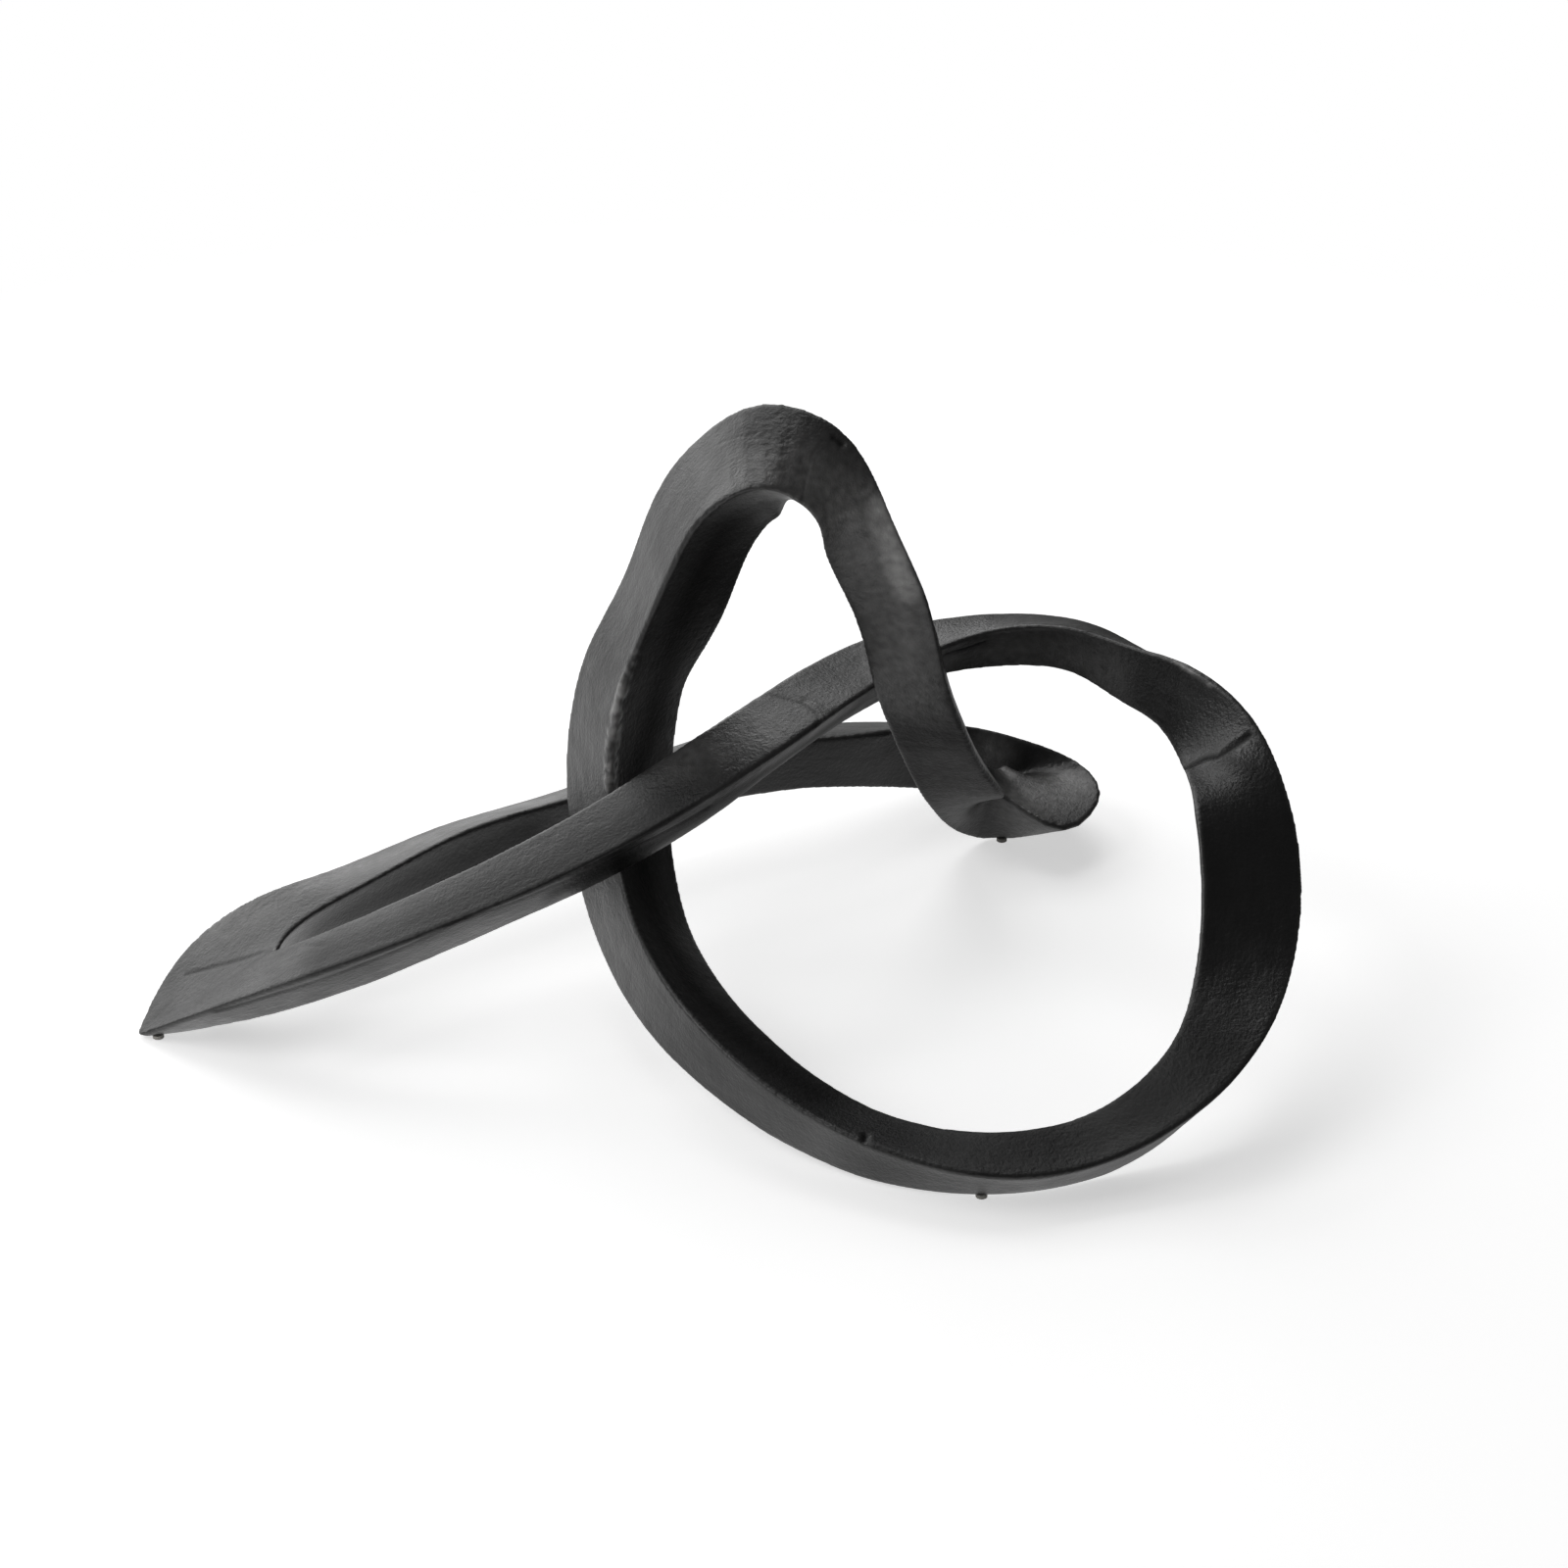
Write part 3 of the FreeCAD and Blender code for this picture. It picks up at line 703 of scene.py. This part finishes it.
# %% What reflections see of it: white, with a dark card in three parts
CARD = linear("#404040")
CARD_EDGE, CARD_FRONT, CARD_BACK, CARD_BLEND = -0.01, -0.075, 0.045, 0.05
CARD_BEHIND = 0.6  # the middle card only fades to this behind its back edge
PAPER_FRONT, CARD_RIGHT, CARD_BEFORE = -0.21, 0.13, 0.8

across = add_node(tree, "ShaderNodeSeparateXYZ", inputs={"Vector": where})
card_there = add_node(tree, "ShaderNodeMapRange", inputs={
    "Value": across.outputs["X"], "From Min": CARD_EDGE - CARD_BLEND,
    "From Max": CARD_EDGE + CARD_BLEND})
card_front = add_node(tree, "ShaderNodeMapRange", inputs={
    "Value": across.outputs["Y"], "From Min": CARD_FRONT - CARD_BLEND / 2,
    "From Max": CARD_FRONT + CARD_BLEND / 2})
card_back = add_node(tree, "ShaderNodeMapRange", inputs={
    "Value": across.outputs["Y"], "From Min": CARD_BACK + CARD_BLEND / 2,
    "From Max": CARD_BACK - CARD_BLEND / 2, "To Min": CARD_BEHIND})
card_strip = add_node(tree, "ShaderNodeMath", {"operation": "MULTIPLY"}, {
    0: card_front.outputs["Result"], 1: card_back.outputs["Result"]})
card_square = add_node(tree, "ShaderNodeMath", {"operation": "MULTIPLY"}, {
    0: card_there.outputs["Result"], 1: card_strip.outputs[0]})
right_dark = add_node(tree, "ShaderNodeMapRange", inputs={
    "Value": across.outputs["X"], "From Min": CARD_RIGHT - CARD_BLEND,
    "From Max": CARD_RIGHT + CARD_BLEND})
front_dark = add_node(tree, "ShaderNodeMapRange", inputs={
    "Value": across.outputs["Y"], "From Min": PAPER_FRONT + CARD_BLEND,
    "From Max": PAPER_FRONT - CARD_BLEND, "To Max": CARD_BEFORE})
card_wide = add_node(tree, "ShaderNodeMath", {"operation": "MAXIMUM"}, {
    0: card_square.outputs[0], 1: right_dark.outputs["Result"]})
card_shape = add_node(tree, "ShaderNodeMath", {"operation": "MAXIMUM"}, {
    0: card_wide.outputs[0], 1: front_dark.outputs["Result"]})
card_face = add_node(tree, "ShaderNodeEmission", inputs={"Color": CARD, "Strength": 1.0})
mirrored = add_node(tree, "ShaderNodeMixShader", inputs={
    0: card_shape.outputs[0], 1: glow.outputs["Emission"], 2: card_face.outputs["Emission"]})
print("card from", CARD_EDGE, "m to the right")

# %% Put the paper together
by_glossy = add_node(tree, "ShaderNodeMixShader", inputs={
    0: path.outputs["Is Glossy Ray"], 1: paper_face.outputs["BSDF"],
    2: mirrored.outputs["Shader"]})
by_camera = add_node(tree, "ShaderNodeMixShader", inputs={
    0: path.outputs["Is Camera Ray"], 1: by_glossy.outputs["Shader"],
    2: seen.outputs["Shader"]})
tree.links.new(by_camera.outputs["Shader"], output.inputs["Surface"])
dress(floor, paper)
print(paper.name, len(tree.nodes), "nodes")

# %% [markdown]
# ## Light
# The photograph is lit from the left and behind by something wide and white, and nothing bright
# stands overhead, on the right or beside the camera. A sun would give the satin lacquer one hard
# glint, so wide area lamps stand where the photograph's walls and windows must be, and each face
# turns as grey as the lamp that it mirrors. The room round them is dim, but white to the camera.

# %% Lamps: azimuth and elevation in degrees, distance, width and height in m, radiance
AIM_HEIGHT = 60 * MM


def softbox(name, azimuth, elevation, distance, width, height, radiance):
    """A soft rectangular lamp round the knot, aimed at its middle, azimuth 0 on the right."""
    turn, lift = math.radians(azimuth), math.radians(elevation)
    place = Vector((math.cos(lift) * math.cos(turn), math.cos(lift) * math.sin(turn),
                    math.sin(lift))) * distance
    data = bpy.data.lights.new(name, "AREA")
    data.shape = "RECTANGLE"
    data.size, data.size_y = width, height
    data.energy = radiance * math.pi * width * height
    lamp = bpy.data.objects.new(name, data)
    lamp.location = place + Vector((0, 0, AIM_HEIGHT))
    lamp.rotation_euler = place.to_track_quat("Z", "Y").to_euler()
    bpy.context.scene.collection.objects.link(lamp)
    return lamp


softbox("back_left_wall", 126, 24, 1.8, 2.2, 1.4, 2.0)
softbox("back_card", 82, 40, 1.5, 0.6, 0.6, 1.2)
softbox("high_back_card", 105, 64, 1.4, 0.8, 0.6, 1.9)
softbox("left_window", 196, 42, 1.6, 1.1, 1.0, 2.6)
softbox("left_front_card", 226, 16, 1.5, 0.7, 0.5, 0.4)
print(len(bpy.data.lights), "lamps")

# %% The room round the knot
ROOM_DIM, ROOM_SEEN = 0.07, 1.0

world = bpy.data.worlds.new("surround")
bpy.context.scene.world = world
world.use_nodes = True
tree = world.node_tree
tree.nodes.clear()
path = add_node(tree, "ShaderNodeLightPath")
dim = add_node(tree, "ShaderNodeBackground", inputs={"Color": WHITE, "Strength": ROOM_DIM})
bright = add_node(tree, "ShaderNodeBackground", inputs={"Color": WHITE, "Strength": ROOM_SEEN})
mixed = add_node(tree, "ShaderNodeMixShader", inputs={
    0: path.outputs["Is Camera Ray"], 1: dim.outputs["Background"],
    2: bright.outputs["Background"]})
add_node(tree, "ShaderNodeOutputWorld", inputs={"Surface": mixed.outputs["Shader"]})
print("room", ROOM_DIM)
